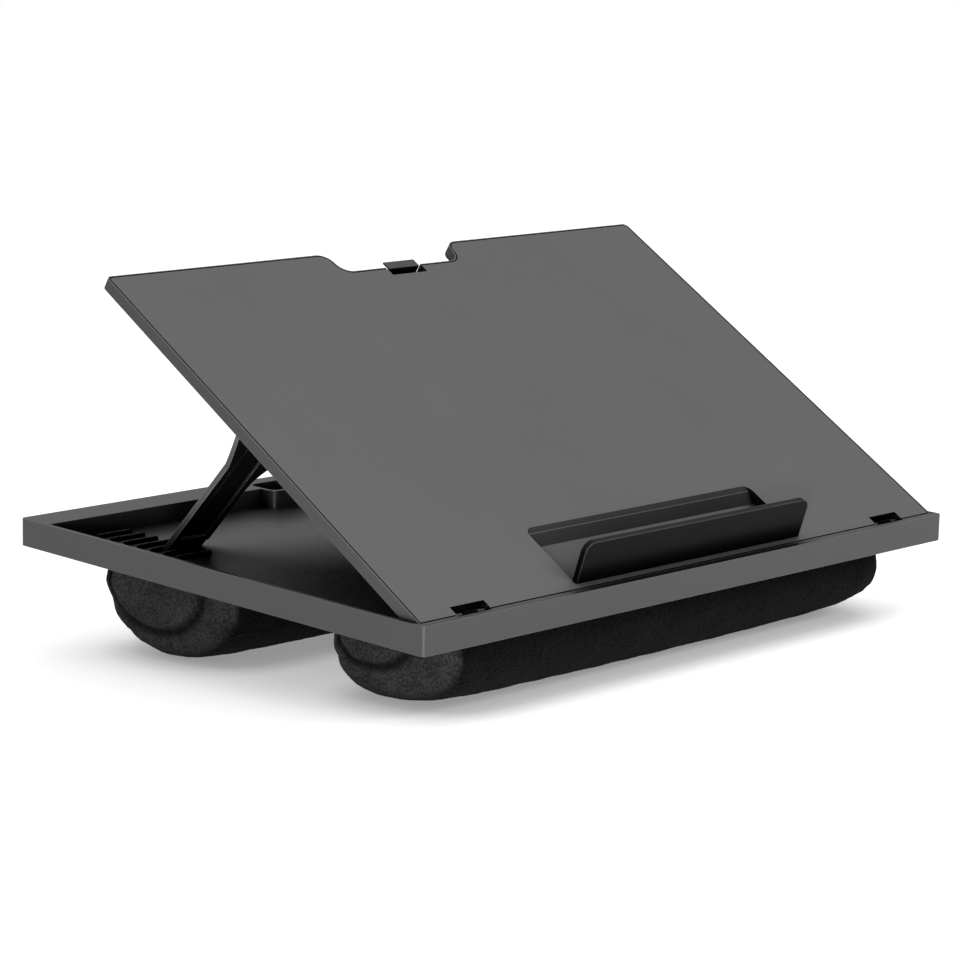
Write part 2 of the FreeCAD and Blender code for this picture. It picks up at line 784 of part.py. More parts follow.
def cross_panel():
    half = leg_thickness / 2
    inner_end = leg_inner_x - leg_inner_flare
    lap_end = leg_inner_x - leg_lug_inset - side_clearance
    web = box((-inner_end, leg_lug_end, -half), (inner_end, cross_panel_end, half))
    laps = box((-lap_end, leg_lug_end, 0), (lap_end, cross_panel_end, half))
    body = fuse([web, laps])
    hollow = box((-inner_end + cross_panel_lip, leg_lug_end + cross_panel_lip, -half - overrun),
                 (inner_end - cross_panel_lip, cross_panel_end - cross_panel_lip, -half + leg_recess_depth))
    return cut(body, [hollow] + cross_screws())


# The flap, drawn lying in its pocket from its pin along +Y, with its front face up

def ledge_flap():
    front = flap_knuckle_radius
    back = front - flap_thickness
    low = (-flap_half_width, 0, back)
    high = (flap_half_width, flap_length, front)
    body = box(low, high)
    upright = [edge for edge in body.Edges
               if abs(edge.Vertexes[0].Z - edge.Vertexes[1].Z) > flap_thickness / 2]
    corners = [edge for edge in upright if edge.CenterOfMass.y > flap_length / 2]
    body = body.makeFillet(flap_corner_radius, corners)
    knuckle = rod(flap_knuckle_radius, -flap_half_width, flap_half_width, 0, 0)
    body = fuse([body, knuckle])
    bottom_x = flap_half_width - flap_pin_grip - running_clearance
    bore = rod(flap_pin_radius + running_clearance, bottom_x, flap_half_width + overrun, 0, 0)
    return cut(body, both_sides(bore))


def flap_pin(side):
    outer = pocket_half_width + pin_block - pocket_wall
    pin = rod(flap_pin_radius, flap_half_width - flap_pin_grip, outer, flap_pivot_s, flap_pivot_n)
    return pin if side > 0 else mirrored(pin)


# The latch, in the lying platform

def bend_half(low_s, high_s):
    """A part of the latch's half ring, between two places along the platform."""
    ring = rod(latch_bend_radius, -clip_half_width, clip_half_width, latch_bend_s, latch_bend_n)
    inner_radius = latch_bend_radius - latch_wall
    hole = rod(inner_radius, -latch_half_width, latch_half_width, latch_bend_s, latch_bend_n)
    keep = box((-latch_half_width, low_s, latch_bend_n - 2 * latch_bend_radius),
               (latch_half_width, high_s, latch_bend_n))
    return ring.cut(hole).common(keep)


def latch_clip():
    front_s = latch_bend_s - latch_bend_radius
    plate = box((-clip_half_width, clip_start, web_bottom_n - clip_thickness),
                (clip_half_width, front_s + latch_wall, web_bottom_n))
    wall = box((-clip_half_width, front_s, latch_bend_n),
               (clip_half_width, front_s + latch_wall, web_bottom_n))
    bend = bend_half(front_s, latch_bend_s - latch_split_gap / 2)
    return cut(fuse([plate, wall, bend]), clip_screws())


def latch_tab():
    rear_s = latch_bend_s + latch_bend_radius
    bend = bend_half(latch_bend_s + latch_split_gap / 2, rear_s)
    wall = box((-latch_half_width, rear_s - latch_wall, latch_bend_n), (latch_half_width, rear_s, 0))
    flange = box((-latch_half_width, rear_s - latch_wall, -latch_flange_thickness),
                 (latch_half_width, latch_flange_end, 0))
    hook = side_prism([(rear_s, -latch_hook_height), (rear_s + latch_hook_depth, -latch_hook_height),
                       (rear_s, latch_bend_n)], -keeper_half_width, keeper_half_width)
    return fuse([bend, wall, flange, hook])


# The cushions, drawn on the surface that they rest on, under the sloping tray

def cushion_section(x, front_y, rear_y, inset):
    """One upright section of a bolster: flat under the board, with an elliptic lower half."""
    middle_y = (front_y + rear_y) / 2
    half = (rear_y - front_y) / 2 - inset
    top_half = half - cushion_top_draw
    top_z = board_recess - running_clearance
    front_top = row_point(middle_y - top_half, top_z)
    rear_top = row_point(middle_y + top_half, top_z)
    row_middle = (front_top[0] + rear_top[0]) / 2
    bottom_z = inset - floor_flat
    wide_z = bottom_z + ((front_top[1] + rear_top[1]) / 2 + floor_flat) * cushion_low_share - inset

    def low_point(turn, way):
        """A point of the elliptic half, turned down from its widest place."""
        angle = math.radians(turn)
        return (x, row_middle + way * half * math.cos(angle), wide_z - (wide_z - bottom_z) * math.sin(angle))

    def side(top, way):
        """The edges of one side, from the board down to where the bottom starts."""
        bulge = (x, row_middle + way * (half - cushion_top_draw / 4), (wide_z + top[2]) / 2)
        upper = arc(top, bulge, low_point(0, way))
        lower = arc(low_point(0, way), low_point(cushion_bottom_turn / 2, way),
                    low_point(cushion_bottom_turn, way))
        return [upper, lower]

    front = (x, front_top[0], front_top[1] - inset)
    rear = (x, rear_top[0], rear_top[1] - inset)
    bottom = arc(low_point(cushion_bottom_turn, 1), low_point(90, 1), low_point(cushion_bottom_turn, -1))
    front_side = side(front, -1)
    return Part.Wire([line(front, rear)] + side(rear, 1) + [bottom] + front_side[::-1])


def cushion_form(front_y, rear_y, skin):
    """A bolster whose ends are drawn in, cut flat where it rests."""
    left = []
    right = []
    for share in cushion_end_turn_shares:
        turn = math.radians(90 * share)
        x = cushion_half_length - skin - cushion_end_rounding * (1 - math.sin(turn))
        inset = skin + cushion_end_rounding * (1 - math.cos(turn))
        left.append(cushion_section(-x, front_y, rear_y, inset))
        right.insert(0, cushion_section(x, front_y, rear_y, inset))
    left_end = Part.makeLoft(left, True, False)
    middle = Part.makeLoft([left[-1], right[0]], True, True)
    right_end = Part.makeLoft(right, True, False)
    form = left_end.fuse([middle, right_end])
    reach = tray_depth
    under = box((-reach, -reach, -reach), (reach, reach, 0))
    return form.cut(under)


def cushion_pair(front_y, rear_y):
    outer = cushion_form(front_y, rear_y, 0)
    filling = cushion_form(front_y, rear_y, cover_thickness)
    return outer.cut(filling), filling


def placed_plate(shape):
    return in_row(in_tray(shape))


def nodes():
    """Every piece in its place, by name."""
    pieces = {}
    pieces["tray_shell"] = in_row(tray_shell())
    pieces["left_rack"] = in_row(rack(-1))
    pieces["right_rack"] = in_row(rack(1))
    pieces["base_board"] = in_row(base_board())
    pieces["board_screws"] = in_row(Part.Compound(board_screws()))
    pieces["left_hinge_pin"] = in_row(hinge_pin(-1))
    pieces["right_hinge_pin"] = in_row(hinge_pin(1))
    front_cover, front_filling = cushion_pair(front_cushion_front_y, front_cushion_rear_y)
    rear_cover, rear_filling = cushion_pair(rear_cushion_front_y, rear_cushion_rear_y)
    pieces["front_cushion_cover"] = front_cover
    pieces["front_cushion_filling"] = front_filling
    pieces["rear_cushion_cover"] = rear_cover
    pieces["rear_cushion_filling"] = rear_filling
    pieces["platform_frame"] = placed_plate(platform_frame())
    pieces["platform_top_panel"] = placed_plate(platform_top_panel())
    pieces["panel_screws"] = placed_plate(Part.Compound(panel_screws()))
    pieces["bearing_screws"] = placed_plate(Part.Compound(bearing_screws()))
    pieces["clip_screws"] = placed_plate(Part.Compound(clip_screws()))
    names = ("left_inner_bearing", "left_outer_bearing", "right_inner_bearing", "right_outer_bearing")
    for number, name in enumerate(names):
        pieces[name] = placed_plate(leg_bearing(number))
    pieces["left_leg_pin"] = placed_plate(leg_pin(-1))
    pieces["right_leg_pin"] = placed_plate(leg_pin(1))
    pieces["left_flap_pin"] = placed_plate(flap_pin(-1))
    pieces["right_flap_pin"] = placed_plate(flap_pin(1))
    pieces["latch_clip"] = placed_plate(latch_clip())
    pieces["left_leg"] = placed_plate(leg_in_plate(leg(-1)))
    pieces["right_leg"] = placed_plate(leg_in_plate(leg(1)))
    pieces["leg_cross_panel"] = placed_plate(leg_in_plate(cross_panel()))
    pieces["cross_panel_screws"] = placed_plate(leg_in_plate(Part.Compound(cross_screws())))
    pieces["ledge_flap"] = placed_plate(flap_in_plate(ledge_flap()))
    pieces["latch_tab"] = placed_plate(latch_tab())
    return pieces


def main():
    os.makedirs("parts", exist_ok=True)
    for name, shape in nodes().items():
        shape.exportStep("parts/" + name + ".step")
        state = "valid" if shape.isValid() else "NOT VALID"
        print(name, len(shape.Solids), "solids", round(shape.Volume), state)


main()
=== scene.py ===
import bpy
import math
from mathutils import Matrix, Vector, noise


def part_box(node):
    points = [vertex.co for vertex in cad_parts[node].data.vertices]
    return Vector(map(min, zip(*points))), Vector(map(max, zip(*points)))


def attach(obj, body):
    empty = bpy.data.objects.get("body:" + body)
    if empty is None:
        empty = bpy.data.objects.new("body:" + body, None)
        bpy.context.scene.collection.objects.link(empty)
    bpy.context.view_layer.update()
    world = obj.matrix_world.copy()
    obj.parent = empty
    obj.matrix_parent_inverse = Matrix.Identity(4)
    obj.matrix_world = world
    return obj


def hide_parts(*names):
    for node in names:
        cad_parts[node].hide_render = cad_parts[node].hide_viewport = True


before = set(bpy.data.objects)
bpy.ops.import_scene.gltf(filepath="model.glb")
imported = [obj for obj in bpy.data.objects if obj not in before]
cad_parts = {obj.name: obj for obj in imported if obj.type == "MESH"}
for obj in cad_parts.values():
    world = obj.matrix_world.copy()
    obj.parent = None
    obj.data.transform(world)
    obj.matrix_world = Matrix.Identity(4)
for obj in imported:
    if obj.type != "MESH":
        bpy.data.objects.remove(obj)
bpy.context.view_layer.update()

# Laptop bed table, in metres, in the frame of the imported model: X to the right, Y to the rear,
# Z up, with the origin on the floor under the middle of the table. Angles are in degrees.

mm = 0.001
WHITE = (1, 1, 1, 1)
BLACK = (0, 0, 0, 1)

# Camera, fitted to the tray's corners in the photograph
camera_turn = 44.795
camera_height_angle = 8.785
camera_roll = -1.413
camera_distance = 2209.6 * mm
camera_target = (-10.5 * mm, -2.4 * mm, 108.6 * mm)
camera_lens = 118.81
camera_sensor = 36.0
camera_far_end = 50.0

# Rounded edges of the moulded pieces
edge_round = 0.6 * mm
thin_edge_round = 0.3 * mm
edge_segments = 2
edge_angle = 16.0
weld_distance = 0.002 * mm
flat_angle = 0.5
normal_weight = 100

# Painted highlight on an edge, between the two likenesses of its rounded normal to its flat one
full_highlight_share = 0.8
plain_face_share = 0.995
edge_samples = 4

# Painted shade in hollows: how far they reach, how dark they get, and the open shares between which they
# fade
hollow_reach = 60.0 * mm
floor_reach = 160.0 * mm
hollow_light_share = 0.03
hollow_closed_share = 0.36
hollow_open_share = 0.88
hollow_samples = 8

# Ways that faces look, with the painted shade, or the reach of the painted shade in hollows, of faces along
# them and of faces away from them
plate_lean = math.radians(34.2)
ramp_lean = math.radians(60.8)
facing_blend = 0.05
plate_top = {"way": (0, -math.sin(plate_lean), math.cos(plate_lean)), "least": 0.93,
             "blend": facing_blend, "along": 1.0, "away": 0.3}
pocket_ramp = {"way": (0, -math.sin(ramp_lean), math.cos(ramp_lean)), "least": 0.93,
               "blend": facing_blend, "along": 0.27, "away": 1.0}
leg_side = {"way": (1, 0, 0), "least": 0.85, "blend": facing_blend, "along": 1.0, "away": 0.1}
upward = {"way": (0, 0, 1), "least": 0.94, "blend": facing_blend, "along": floor_reach, "away": hollow_reach}
# Painted light on the cushions' ends and painted shade along their bodies
painted_end_light = {"way": (1, 0, 0), "least": 0.25, "blend": 0.75, "along": 2.9, "away": 0.32}

# Hinge line, as its y and z, whose lugs get a painted shadow below the platform's notches
hinge_line = (-186.8 * mm, 67.3 * mm)
hinge_reach = 3.2 * mm
hinge_blend = 1.0 * mm
hinge_end = 235.0 * mm
hinge_light_share = 0.03

# Noise: the band of its values that a tone or a roughness is spread over
noise_low = 0.3
noise_high = 0.7
mottle_low = 0.35
mottle_high = 0.65
plain_roughness = 0.5
fine_roughness = 0.6

# Moulded plastic: its slow mottle, the patches in its gloss and its grain
mottle_scale = 9.0
mottle_detail = 4.0
mottle_share = 0.03
patch_scale = 26.0
patch_detail = 3.0
patch_glossier = 0.015
patch_duller = 0.02
grain_detail = 2.0

# Finishes of the plastics, with the gain of the painted highlight on their edges: how many times paler than
# the faces the edges are
satin = {"roughness": 0.3, "grain_size": 0.9 * mm, "grain_depth": 0.008 * mm}
matt = {"roughness": 0.5, "grain_size": 1.2 * mm, "grain_depth": 0.05 * mm}
black_finish = {**satin, "colour": (0.03, 0.03, 0.031), "painted_highlight_gain": 5.0, "shine": 0.8, "edge_width": 0.5 * mm}
frame_finish = {**satin, "colour": (0.04, 0.04, 0.041), "painted_highlight_gain": 4.0, "shine": 0.6, "edge_width": 0.5 * mm}
leg_finish = {**satin, "colour": (0.07, 0.07, 0.071), "painted_highlight_gain": 7.0, "shine": 0.5, "edge_width": 0.9 * mm}
panel_finish = {**matt, "colour": (0.071, 0.071, 0.072), "painted_highlight_gain": 1.6, "shine": 0.5, "edge_width": 0.5 * mm}
# The flap's colour is darker than the black plastic's, as painted shade on its downward-leaning face
flap_finish = {**satin, "colour": (0.004, 0.004, 0.0042), "painted_highlight_gain": 60.0, "shine": 0.06,
               "edge_width": 0.8 * mm}
latch_finish = {**satin, "colour": (0.012, 0.012, 0.012), "painted_highlight_gain": 6.0, "shine": 0.5, "edge_width": 0.5 * mm}

# Steel: its streaks and its tones
streak_scale = 900.0
streak_detail = 2.0
steel_smooth = 0.26
steel_rough = 0.4
steel_tones = ((0.33, 0.33, 0.34), (0.5, 0.5, 0.51))
blackened_tones = ((0.03, 0.03, 0.03), (0.05, 0.05, 0.051))

# Fleece: clumps of pile, stirred by a noise, finer fibres and slow clouds
fleece_colour = (0.0112, 0.0112, 0.0115)
stir_scale = 300.0
stir_detail = 2.0
stir_reach = 2.2 * mm
clump_scale = 600.0
clump_softness = 0.6
clump_top = 0.15
clump_foot = 0.75
clump_height = 0.5 * mm
# Tones at the foot and top of each clump: painted shade between the clumps and painted light on their tops
tone_foot = 0.1
tone_top = 0.85
foot_tone_share = 0.62
top_tone_share = 1.42
fibre_scale = 1300.0
fibre_detail = 2.0
fibre_height = 0.12 * mm
fibre_smooth = 0.85
fibre_rough = 1.0
cloud_scale = 45.0
cloud_detail = 3.0
cloud_dark_shares = (0.8, 0.8, 0.81)
cloud_light_shares = (1.2, 1.2, 1.22)
fleece_sheen = 0.02
fleece_sheen_roughness = 0.5
fleece_shine = 0.05

# Tray that the cushions hang under
tray_slope = 3.8
tray_depth = 400.0 * mm
rim_height = 19.0 * mm
front_stand_height = 49.5 * mm
board_underside = 0.45 * mm

# Cushions: their section, ends and seams
section_steps = 48
mesh_step = 6.0 * mm
hold_margin = 0.75 * mm
top_draw = 2.5 * mm
wide_share = 0.67
end_bulge = 4.5 * mm
anchor_share = 0.8
seam_draw = 2.0 * mm
# Painted shade on the seam line, and the widths over which it fades
seam_light_share = 0.25
seam_width = 3.6 * mm
seam_line = 0.9 * mm
seam_run = 20.0 * mm
start_inset = 0.5 * mm
cap_rings = 12
end_lift_run = 60.0 * mm
rest_softness = 1.5 * mm

# Cloth that swells the cushions
swell_limit = 8.0 * mm
swell_pressure = 6.0
swell_frames = 20
cloth_quality = 4
cloth_mass = 0.3
cloth_bending = 1.0
surface_levels = 2

# Seam groove, gathers, lumps and pile of the cushions, with the shifts that make each noise differ
groove_depth = 3.6 * mm
groove_width = 3.4 * mm
gather_depth = 2.6 * mm
gather_run = 24.0 * mm
gather_spacing = 21.0 * mm
gather_rise = 28.0 * mm
gather_foot_share = 0.2
gather_least_share = 0.55
gather_change_share = 0.9
gather_pace_share = 0.55
gather_drift = 1.4
gather_onset = 6
side_shift = 3.1
row_shift = 7
drift_shift = Vector((5.0, 0.0, 0.0))
lump_depth = 0.5 * mm
lump_size = 17.0 * mm
lump_shift = 9
pile_depth = 0.25 * mm
pile_size = 3.6 * mm

# Floor, with painted shadow close to the cushions
floor_size = 14.0
floor_drop = 0.05 * mm
floor_colour = (0.9, 0.9, 0.9)
floor_dim_share = 0.995
floor_mottle_scale = 0.7
floor_mottle_detail = 1.0
floor_roughness = 0.9
floor_shine = 0.1
floor_glow = 0.42
contact_reach = 45.0 * mm
contact_light_share = 0.62
contact_closed_share = 0.4
contact_open_share = 0.85

# Lights: a sky that is brighter overhead, two panels and a small low lamp, with powers in watts
sky_low = 0.05
sky_high = 1.22
middle_of_floor = (0, 0, 0)
front_panel = {"place": (1.1, -2.0, 1.3), "target": middle_of_floor, "size": (1.2, 0.8), "power": 21}
left_panel = {"place": (-2.2, -0.9, 1.1), "target": middle_of_floor, "size": (1.2, 0.8), "power": 3}
low_strip = {"place": (-1.1, -1.05, 0.1), "target": (-0.25, -0.2, 0.06), "size": (0.16, 0.16), "power": 11}

# Nodes by what they are made of
BLACK_NODES = ("base_board", "left_inner_bearing", "left_outer_bearing", "right_inner_bearing",
               "right_outer_bearing")
LEG_NODES = ("left_leg", "right_leg", "leg_cross_panel")
RACK_NODES = ("left_rack", "right_rack")
LATCH_NODES = ("latch_clip", "latch_tab")
HINGE_PINS = ("left_hinge_pin", "right_hinge_pin")
STEEL_NODES = ("left_leg_pin", "right_leg_pin", "left_flap_pin", "right_flap_pin", "board_screws",
               "panel_screws", "bearing_screws", "clip_screws", "cross_panel_screws")
FRONT_CUSHION = ("front_cushion_cover", "front_cushion_filling")
REAR_CUSHION = ("rear_cushion_cover", "rear_cushion_filling")
THICK_NODES = BLACK_NODES + LEG_NODES + ("tray_shell", "platform_frame", "platform_top_panel", "ledge_flap")
THIN_NODES = RACK_NODES + LATCH_NODES


# Shader nodes

def new_material(name):
    """A material with its nodes and links, its shader and a source of coordinates in metres."""
    material = bpy.data.materials.new(name)
    material.use_nodes = True
    nodes = material.node_tree.nodes
    shader = nodes["Principled BSDF"]
    place = nodes.new("ShaderNodeTexCoord")
    return material, nodes, material.node_tree.links, shader, place


def noise_node(nodes, links, place, scale, detail, roughness=plain_roughness):
    node = nodes.new("ShaderNodeTexNoise")
    node.inputs["Scale"].default_value = scale
    node.inputs["Detail"].default_value = detail
    node.inputs["Roughness"].default_value = roughness
    links.new(place.outputs["Object"], node.inputs["Vector"])
    return node


def ramp_node(nodes, links, source, low_colour, high_colour, start=mottle_low, end=mottle_high):
    """A ramp between two colours."""
    node = nodes.new("ShaderNodeValToRGB")
    node.color_ramp.elements[0].position = start
    node.color_ramp.elements[1].position = end
    node.color_ramp.elements[0].color = (*low_colour, 1)
    node.color_ramp.elements[1].color = (*high_colour, 1)
    links.new(source, node.inputs["Fac"])
    return node


def range_node(nodes, links, source, low, high, start=noise_low, end=noise_high):
    """The low value below the start of a band, the high one above its end, and a slope between."""
    node = nodes.new("ShaderNodeMapRange")
    node.inputs["From Min"].default_value = start
    node.inputs["From Max"].default_value = end
    node.inputs["To Min"].default_value = low
    node.inputs["To Max"].default_value = high
    links.new(source, node.inputs["Value"])
    return node


def bump_node(nodes, links, height, distance, before=None):
    node = nodes.new("ShaderNodeBump")
    node.inputs["Distance"].default_value = distance
    links.new(height, node.inputs["Height"])
    if before:
        links.new(before.outputs["Normal"], node.inputs["Normal"])
    return node


def math_node(nodes, links, operation, first, second=None):
    """One sum on the values of one or two sockets."""
    node = nodes.new("ShaderNodeMath")
    node.operation = operation
    links.new(first, node.inputs[0])
    if second:
        links.new(second, node.inputs[1])
    return node


def tinted_node(nodes, links, colour, tint):
    """The colour times the tint."""
    node = nodes.new("ShaderNodeMix")
    node.data_type = "RGBA"
    node.blend_type = "MULTIPLY"
    node.inputs["Factor"].default_value = 1
    links.new(colour, node.inputs["A"])
    links.new(tint, node.inputs["B"])
    return node


def facing_node(nodes, links, place, facing):
    """A painted shade, or a reach, for faces that look along a way, on either side, and another for those
    that don't.
    """
    alike = nodes.new("ShaderNodeVectorMath")
    alike.operation = "DOT_PRODUCT"
    links.new(place.outputs["Normal"], alike.inputs[0])
    alike.inputs[1].default_value = facing["way"]
    size = math_node(nodes, links, "ABSOLUTE", alike.outputs["Value"])
    return range_node(nodes, links, size.outputs["Value"], facing["away"], facing["along"],
                      facing["least"], facing["least"] + facing["blend"])


def hinge_shade(nodes, links, place):
    """Painted shadow: dark within reach of the hinge's line and inside the rim, and one elsewhere."""
    across = nodes.new("ShaderNodeVectorMath")
    across.operation = "MULTIPLY"
    links.new(place.outputs["Object"], across.inputs[0])
    across.inputs[1].default_value = (0, 1, 1)
    away = nodes.new("ShaderNodeVectorMath")
    away.operation = "DISTANCE"
    links.new(across.outputs["Vector"], away.inputs[0])
    away.inputs[1].default_value = (0, *hinge_line)
    near = range_node(nodes, links, away.outputs["Value"], hinge_light_share, 1, hinge_reach,
                      hinge_reach + hinge_blend)
    sides = nodes.new("ShaderNodeSeparateXYZ")
    links.new(place.outputs["Object"], sides.inputs["Vector"])
    side = math_node(nodes, links, "ABSOLUTE", sides.outputs["X"])
    rim = range_node(nodes, links, side.outputs["Value"], 0, 1, hinge_end, hinge_end + hinge_blend)
    return math_node(nodes, links, "MAXIMUM", near.outputs["Result"], rim.outputs["Result"])


def painted_edge_highlights(nodes, links, width):
    """Painted highlight: one on the edges that light catches, and zero on flat faces."""
    rounded = nodes.new("ShaderNodeBevel")
    rounded.samples = edge_samples
    rounded.inputs["Radius"].default_value = width
    flat = nodes.new("ShaderNodeNewGeometry")
    alike = nodes.new("ShaderNodeVectorMath")
    alike.operation = "DOT_PRODUCT"
    links.new(rounded.outputs["Normal"], alike.inputs[0])
    links.new(flat.outputs["Normal"], alike.inputs[1])
    return range_node(nodes, links, alike.outputs["Value"], 1, 0, full_highlight_share, plain_face_share)


def open_light(nodes, links, place):
    """Painted shade: nearly zero in hollows and one on open faces, with a longer reach above the faces that
    look up.
    """
    hollow = nodes.new("ShaderNodeAmbientOcclusion")
    hollow.samples = hollow_samples
    reach = facing_node(nodes, links, place, upward)
    links.new(reach.outputs["Result"], hollow.inputs["Distance"])
    return range_node(nodes, links, hollow.outputs["AO"], hollow_light_share, 1, hollow_closed_share,
                      hollow_open_share)


# Materials

def moulded_plastic(name, finish, facing=None, beside_hinge=False):
    """Spark-eroded plastic: a fine grain, slightly uneven gloss, a painted highlight on its edges, and
    painted shade in its hollows, on faces that look away from a way and beside the hinge.
    """
    material, nodes, links, shader, place = new_material(name)
    mottle = noise_node(nodes, links, place, mottle_scale, mottle_detail)
    dark = [value * (1 - mottle_share) for value in finish["colour"]]
    light = [value * (1 + mottle_share) for value in finish["colour"]]
    tone = ramp_node(nodes, links, mottle.outputs["Fac"], dark, light)
    # Painted highlight on the edges, paler than the faces by the finish's gain
    edge = painted_edge_highlights(nodes, links, finish["edge_width"])
    colour = nodes.new("ShaderNodeMix")
    colour.data_type = "RGBA"
    colour.inputs["B"].default_value = (*[value * finish["painted_highlight_gain"] for value in finish["colour"]], 1)
    links.new(edge.outputs["Result"], colour.inputs["Factor"])
    links.new(tone.outputs["Color"], colour.inputs["A"])
    links.new(colour.outputs["Result"], shader.inputs["Base Color"])
    patch = noise_node(nodes, links, place, patch_scale, patch_detail)
    rough = range_node(nodes, links, patch.outputs["Fac"], finish["roughness"] - patch_glossier,
                       finish["roughness"] + patch_duller)
    links.new(rough.outputs["Result"], shader.inputs["Roughness"])
    grain = noise_node(nodes, links, place, 1 / finish["grain_size"], grain_detail, fine_roughness)
    bump = bump_node(nodes, links, grain.outputs["Fac"], finish["grain_depth"])
    links.new(bump.outputs["Normal"], shader.inputs["Normal"])
    shader.inputs["Specular IOR Level"].default_value = finish["shine"]
    # Painted shade in hollows, mixed in as black at the end
    lit = open_light(nodes, links, place).outputs["Result"]
    # Painted shade on faces that look away from the lit way, except on the painted edge highlights
    if facing:
        seen = facing_node(nodes, links, place, facing)
        either = math_node(nodes, links, "MAXIMUM", seen.outputs["Result"], edge.outputs["Result"])
        lit = math_node(nodes, links, "MULTIPLY", lit, either.outputs["Value"]).outputs["Value"]
    # Painted shadow on the hinge's lugs
    if beside_hinge:
        hinge_shadow = hinge_shade(nodes, links, place)
        lit = math_node(nodes, links, "MULTIPLY", lit, hinge_shadow.outputs["Value"]).outputs["Value"]
    darken(nodes, links, shader, lit)
    return material


def darken(nodes, links, shader, lit):
    """Paints shade by mixing the shader with plain black where it isn't lit."""
    shadow = nodes.new("ShaderNodeBsdfDiffuse")
    shadow.inputs["Color"].default_value = BLACK
    both = nodes.new("ShaderNodeMixShader")
    links.new(lit, both.inputs["Fac"])
    links.new(shadow.outputs["BSDF"], both.inputs[1])
    links.new(shader.outputs["BSDF"], both.inputs[2])
    links.new(both.outputs["Shader"], nodes["Material Output"].inputs["Surface"])


def pile_clumps(nodes, links, place):
    """Heights of the clumps of pile, one at their tops and zero between them."""
    stir = noise_node(nodes, links, place, stir_scale, stir_detail)
    shift = nodes.new("ShaderNodeVectorMath")
    shift.operation = "MULTIPLY_ADD"
    shift.inputs[1].default_value = (stir_reach, stir_reach, stir_reach)
    links.new(stir.outputs["Color"], shift.inputs[0])
    links.new(place.outputs["Object"], shift.inputs[2])
    clump = nodes.new("ShaderNodeTexVoronoi")
    clump.feature = "SMOOTH_F1"
    clump.inputs["Scale"].default_value = clump_scale
    clump.inputs["Smoothness"].default_value = clump_softness
    links.new(shift.outputs["Vector"], clump.inputs["Vector"])
    return range_node(nodes, links, clump.outputs["Distance"], 1, 0, clump_top, clump_foot)


def seam_shade(nodes, links):
    """Painted shade: dark on the line of the seam, and one away from it."""
    gap = nodes.new("ShaderNodeAttribute")
    gap.attribute_name = "seam_gap"
    away = math_node(nodes, links, "ABSOLUTE", gap.outputs["Fac"])
    return range_node(nodes, links, away.outputs["Value"], seam_light_share, 1, seam_line, seam_width)


def fleece(name):
    """Short-pile fleece: clumps of pile and finer fibres, with painted light that makes the ends paler than
    the body, painted shade at the foot of the clumps and on the seam line.
    """
    material, nodes, links, shader, place = new_material(name)
    clumps = pile_clumps(nodes, links, place)
    fibre = noise_node(nodes, links, place, fibre_scale, fibre_detail, fine_roughness)
    cloud = noise_node(nodes, links, place, cloud_scale, cloud_detail)
    foot = [value * foot_tone_share for value in fleece_colour]
    top = [value * top_tone_share for value in fleece_colour]
    # Painted shade at the foot of each clump and painted light on its top
    tone = ramp_node(nodes, links, clumps.outputs["Result"], foot, top, tone_foot, tone_top)
    clouds = ramp_node(nodes, links, cloud.outputs["Fac"], cloud_dark_shares, cloud_light_shares)
    clouded = tinted_node(nodes, links, tone.outputs["Color"], clouds.outputs["Color"])
    # Painted light on the ends and painted shade along the body
    end_light = facing_node(nodes, links, place, painted_end_light)
    seam = seam_shade(nodes, links)
    shade = math_node(nodes, links, "MULTIPLY", end_light.outputs["Result"], seam.outputs["Result"])
    colour = tinted_node(nodes, links, clouded.outputs["Result"], shade.outputs["Value"])
    links.new(colour.outputs["Result"], shader.inputs["Base Color"])
    rough = range_node(nodes, links, fibre.outputs["Fac"], fibre_smooth, fibre_rough)
    links.new(rough.outputs["Result"], shader.inputs["Roughness"])
    coarse = bump_node(nodes, links, clumps.outputs["Result"], clump_height)
    fine = bump_node(nodes, links, fibre.outputs["Fac"], fibre_height, coarse)
    links.new(fine.outputs["Normal"], shader.inputs["Normal"])
    shader.inputs["Sheen Weight"].default_value = fleece_sheen
    shader.inputs["Sheen Roughness"].default_value = fleece_sheen_roughness
    shader.inputs["Specular IOR Level"].default_value = fleece_shine
    return material


def brushed_steel(name, tones):
    """Metal with fine streaks between two tones."""
    material, nodes, links, shader, place = new_material(name)
    streak = noise_node(nodes, links, place, streak_scale, streak_detail)
    tone = ramp_node(nodes, links, streak.outputs["Fac"], *tones, noise_low, noise_high)
    links.new(tone.outputs["Color"], shader.inputs["Base Color"])
    rough = range_node(nodes, links, streak.outputs["Fac"], steel_smooth, steel_rough)
    links.new(rough.outputs["Result"], shader.inputs["Roughness"])
    shader.inputs["Metallic"].default_value = 1
    return material


